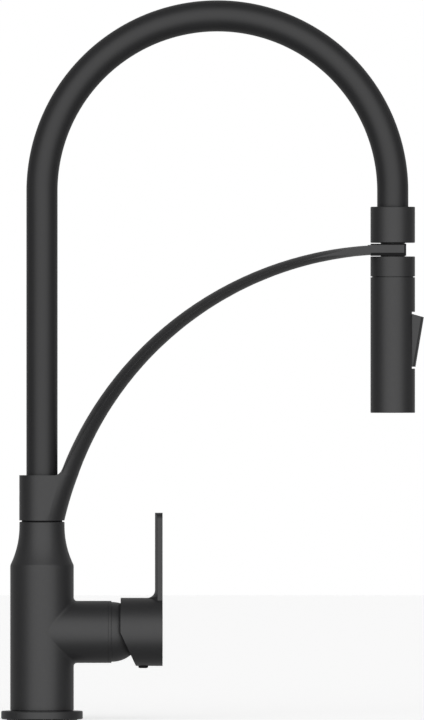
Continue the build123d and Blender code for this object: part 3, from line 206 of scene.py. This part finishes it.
def moulded(name, color, roughness, gloss=0.5):
    """Moulded plastic with a fine spark-eroded grain."""
    material, tree, shader, place = new_material(name, color, roughness)
    shader.inputs["Specular IOR Level"].default_value = gloss
    grain = noise(tree, place, 1500, 3)
    light = tuple(min(1, c * 1.15 + 0.002) for c in color)
    tint(tree, grain, color, light, shader.inputs["Base Color"])
    vary(tree, grain, roughness - 0.06, roughness + 0.06, shader.inputs["Roughness"])
    bump(tree, shader, [(grain, 1)], 0.25, 0.00005)
    return material


def rubber():
    """Black rubber: dull, with a fine pitted grain."""
    material, tree, shader, place = new_material("rubber", (0.018, 0.018, 0.018), 0.75)
    pits = noise(tree, place, 1200, 4)
    tint(tree, pits, (0.014, 0.014, 0.014), (0.024, 0.024, 0.024), shader.inputs["Base Color"])
    vary(tree, pits, 0.68, 0.85, shader.inputs["Roughness"])
    bump(tree, shader, [(pits, 1)], 0.35, 0.00006)
    return material


def metal(name, color, roughness, stretch):
    """Turned or drawn metal, with fine tool marks across the stretch and a little tarnish."""
    material, tree, shader, place = new_material(name, color, roughness, 1.0)
    marks = noise(tree, place, 900, 3, stretch)
    tarnish = noise(tree, place, 70, 3)
    dull = tuple(c * 0.82 for c in color)
    tint(tree, tarnish, dull, color, shader.inputs["Base Color"])
    vary(tree, marks, roughness - 0.08, roughness + 0.1, shader.inputs["Roughness"])
    bump(tree, shader, [(marks, 1)], 0.2, 0.00003)
    return material


def lapped_ceramic():
    """Ivory ceramic, lapped smooth."""
    material, tree, shader, place = new_material("lapped_ceramic", (0.84, 0.83, 0.79), 0.22)
    speck = noise(tree, place, 700, 4)
    tint(tree, speck, (0.80, 0.79, 0.75), (0.87, 0.86, 0.82), shader.inputs["Base Color"])
    vary(tree, speck, 0.17, 0.28, shader.inputs["Roughness"])
    return material


LOOKS = {
    "matte_black_metal": powder_coat(),
    "silicone_sleeve": silicone(),
    "black_plastic": moulded("black_plastic", (0.006, 0.006, 0.0065), 0.6, 0.12),
    "black_rubber": rubber(),
    "grey_plastic": moulded("grey_plastic", (0.42, 0.43, 0.44), 0.45),
    "white_plastic": moulded("white_plastic", (0.78, 0.78, 0.75), 0.4),
    "brass": metal("turned_brass", (0.76, 0.56, 0.27), 0.28, (1, 1, 9)),
    "steel": metal("plated_steel", (0.60, 0.61, 0.62), 0.32, (1, 1, 7)),
    "ceramic": lapped_ceramic(),
}

node_slot = {part["node"]: part["material_slot"] for part in frame["record"]["subparts"]}
for name, node in nodes.items():
    node.data.materials.clear()
    node.data.materials.append(LOOKS[node_slot[name]])


# ---------------------------------------------------------------- hose


def link_mesh(name, mesh, slot_name):
    """Puts a finished mesh into the scene with the look of its slot."""
    piece = bpy.data.objects.new(name, mesh)
    bpy.context.scene.collection.objects.link(piece)
    mesh.materials.append(LOOKS[slot_name])
    for face in mesh.polygons:
        face.use_smooth = True
    return piece


def hose_line():
    """The sleeve's radius, the arch's radius, and the heights where the riser starts and the arch starts."""
    low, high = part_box("hose_sleeve")
    radius = (high.x - low.x) / 2
    sleeve_r = -low.x
    arch_r = radius - sleeve_r
    start_z = low.z
    arch_z = high.z - sleeve_r - arch_r
    return sleeve_r, arch_r, start_z, arch_z


sleeve_r, arch_r, start_z, arch_z = hose_line()
hose_end_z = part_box("hose_end_stem")[1].z - STEM_ABOVE_HOSE
rise = arch_z - start_z
turn = math.pi * arch_r
drop = arch_z - hose_end_z
hose_length = rise + turn + drop


def on_hose(s):
    """Point and direction at a length s along the hose: up the riser, over the arch and down to the head."""
    if s <= rise:
        return Vector((0, 0, start_z + s)), Vector((0, 0, 1))
    if s >= rise + turn:
        return Vector((2 * arch_r, 0, arch_z - (s - rise - turn))), Vector((0, 0, -1))
    angle = (s - rise) / arch_r
    point = Vector((arch_r - arch_r * math.cos(angle), 0, arch_z + arch_r * math.sin(angle)))
    return point, Vector((math.sin(angle), 0, math.cos(angle)))


def hose_tube(name, outer_r, inner_r, steps, sides, slot_name):
    """A closed-walled tube along the hose."""
    side = Vector((0, 1, 0))
    form = bmesh.new()
    loops = []
    for step in range(steps + 1):
        point, along = on_hose(hose_length * step / steps)
        across = side.cross(along)
        ring = []
        for radius in (outer_r, inner_r):
            for k in range(sides):
                a = 2 * math.pi * k / sides
                ring.append(form.verts.new(point + radius * (math.cos(a) * across + math.sin(a) * side)))
        loops.append(ring)
    for first, second in zip(loops, loops[1:]):
        for k in range(sides):
            n = (k + 1) % sides
            form.faces.new((first[k], first[n], second[n], second[k]))
            form.faces.new((first[sides + n], first[sides + k], second[sides + k], second[sides + n]))
    for ring, order in ((loops[0], -1), (loops[-1], 1)):
        for k in range(sides):
            n = (k + 1) % sides
            form.faces.new((ring[k], ring[n], ring[sides + n], ring[sides + k])[::order])
    bmesh.ops.recalc_face_normals(form, faces=form.faces)
    mesh = bpy.data.meshes.new(name)
    form.to_mesh(mesh)
    form.free()
    return link_mesh(name, mesh, slot_name)


def wound_wire(name, place, turns, coil_r, wire_r, per_turn, sides, slot_name):
    """A round wire wound round a line; place(share) gives the line's point and its two cross directions."""
    form = bmesh.new()
    rings = []
    count = round(turns * per_turn)
    for i in range(count + 1):
        point, first, second = place(i / count)
        a = 2 * math.pi * i / per_turn
        outward = math.cos(a) * first + math.sin(a) * second
        along = first.cross(second)
        centre = point + coil_r * outward
        rings.append([
            form.verts.new(centre + wire_r * (math.cos(b) * outward + math.sin(b) * along))
            for b in (2 * math.pi * k / sides for k in range(sides))
        ])
    for ring, after in zip(rings, rings[1:]):
        for k in range(sides):
            n = (k + 1) % sides
            form.faces.new((ring[k], ring[n], after[n], after[k]))
    form.faces.new(rings[0][::-1])
    form.faces.new(rings[-1])
    bmesh.ops.recalc_face_normals(form, faces=form.faces)
    mesh = bpy.data.meshes.new(name)
    form.to_mesh(mesh)
    form.free()
    return link_mesh(name, mesh, slot_name)


def across_hose(share):
    """Point on the hose and its two cross directions."""
    point, along = on_hose(wire_inset + (hose_length - 2 * wire_inset) * share)
    side = Vector((0, 1, 0))
    return point, side.cross(along), side


coil_outer = -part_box("hose_coil")[0].x
tube_outer = -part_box("hose_inner_tube")[0].x
coil_inner = tube_outer + LAYER_GAP
wire_r = (coil_outer - coil_inner) / 2
wire_inset = wire_r + COIL_END_GAP
hose_sleeve = hose_tube("hose_sleeve_skin", sleeve_r, coil_outer + LAYER_GAP, 300, 72, "silicone_sleeve")
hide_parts("hose_sleeve")
hose_tube_inner = hose_tube("hose_inner_tube_skin", tube_outer, TUBE_BORE_R, 160, 32, "grey_plastic")
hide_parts("hose_inner_tube")
coil_middle = (coil_outer + coil_inner) / 2
hose_wire = wound_wire(
    "hose_support_spring", across_hose, hose_length / COIL_PITCH, coil_middle, wire_r, 14, 6, "steel")
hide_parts("hose_coil")
for piece in (hose_sleeve, hose_tube_inner, hose_wire):
    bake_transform(piece)


# ---------------------------------------------------------------- spool spring

spring_low, spring_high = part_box("spool_spring")
spring_outer = (spring_high.z - spring_low.z) / 2
spring_z = (spring_high.z + spring_low.z) / 2


def across_spring(share):
    """Point on the spool's axis and its two cross directions."""
    first = spring_low.x + SPRING_WIRE_R
    last = spring_high.x - SPRING_WIRE_R
    return Vector((first + (last - first) * share, 0, spring_z)), Vector((0, 1, 0)), Vector((0, 0, 1))


spool_spring = wound_wire(
    "spool_return_spring", across_spring, SPRING_TURNS, spring_outer - SPRING_WIRE_R, SPRING_WIRE_R, 24, 8,
    "steel")
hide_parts("spool_spring")
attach(spool_spring, "head")
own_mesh(spool_spring)


# ---------------------------------------------------------------- floor and light


def make_floor():
    """A plain white floor that glows a little, so that it melts into the background."""
    form = bmesh.new()
    bmesh.ops.create_grid(form, x_segments=1, y_segments=1, size=FLOOR_HALF)
    mesh = bpy.data.meshes.new("floor")
    form.to_mesh(mesh)
    form.free()
    floor = bpy.data.objects.new("floor", mesh)
    bpy.context.scene.collection.objects.link(floor)
    material, tree, shader, place = new_material("floor_white", (0.9, 0.9, 0.9), 0.9)
    tint(tree, noise(tree, place, 40, 2), (0.89, 0.89, 0.89), (0.91, 0.91, 0.91), shader.inputs["Base Color"])
    shader.inputs["Emission Color"].default_value = (1, 1, 1, 1)
    shader.inputs["Emission Strength"].default_value = FLOOR_GLOW
    mesh.materials.append(material)
    floor.visible_glossy = False
    floor.visible_diffuse = False
    floor.visible_shadow = False


def calculate(tree, operation, first, second):
    """A math node on two values, each a number or another node's socket."""
    node = tree.nodes.new("ShaderNodeMath")
    node.operation = operation
    for value, socket in zip((first, second), node.inputs):
        if isinstance(value, (int, float)):
            socket.default_value = value
        else:
            tree.links.new(value, socket)
    return node.outputs["Value"]


def make_world():
    """White to the eye, and for the light a bright front, dark sides and a dim back, darker from below."""
    world = bpy.data.worlds.new("studio")
    bpy.context.scene.world = world
    world.use_nodes = True
    tree = world.node_tree
    tree.nodes.clear()
    place = tree.nodes.new("ShaderNodeTexCoord")
    axes = tree.nodes.new("ShaderNodeSeparateXYZ")
    tree.links.new(place.outputs["Generated"], axes.inputs["Vector"])
    spread = tree.nodes.new("ShaderNodeMapRange")
    spread.inputs["From Min"].default_value = -1
    spread.inputs["From Max"].default_value = 1
    below = calculate(tree, "MAXIMUM", calculate(tree, "MULTIPLY", axes.outputs["Z"], -1.0), 0.0)
    turned = calculate(tree, "ADD", calculate(tree, "MULTIPLY", below, BELOW_TURN), axes.outputs["Y"])
    tree.links.new(turned, spread.inputs["Value"])
    ramp = tree.nodes.new("ShaderNodeValToRGB")
    ramp.color_ramp.interpolation = "EASE"
    while len(ramp.color_ramp.elements) < len(LIGHT_LEVELS):
        ramp.color_ramp.elements.new(0.5)
    for element, (at, level) in zip(ramp.color_ramp.elements, LIGHT_LEVELS):
        element.position = at
        element.color = (level, level, level, 1)
    tree.links.new(spread.outputs["Result"], ramp.inputs["Fac"])
    light = tree.nodes.new("ShaderNodeBackground")
    dimming = calculate(tree, "SUBTRACT", 1.0, calculate(tree, "MULTIPLY", below, BELOW_DIMMING))
    tree.links.new(calculate(tree, "MULTIPLY", dimming, LIGHT_STRENGTH), light.inputs["Strength"])
    tree.links.new(ramp.outputs["Color"], light.inputs["Color"])
    white = tree.nodes.new("ShaderNodeBackground")
    white.inputs["Color"].default_value = (1, 1, 1, 1)
    white.inputs["Strength"].default_value = 1.0
    rays = tree.nodes.new("ShaderNodeLightPath")
    mix = tree.nodes.new("ShaderNodeMixShader")
    tree.links.new(rays.outputs["Is Camera Ray"], mix.inputs["Fac"])
    tree.links.new(light.outputs["Background"], mix.inputs[1])
    tree.links.new(white.outputs["Background"], mix.inputs[2])
    output = tree.nodes.new("ShaderNodeOutputWorld")
    tree.links.new(mix.outputs["Shader"], output.inputs["Surface"])


make_floor()
make_world()
bpy.context.scene.view_settings.view_transform = "Standard"
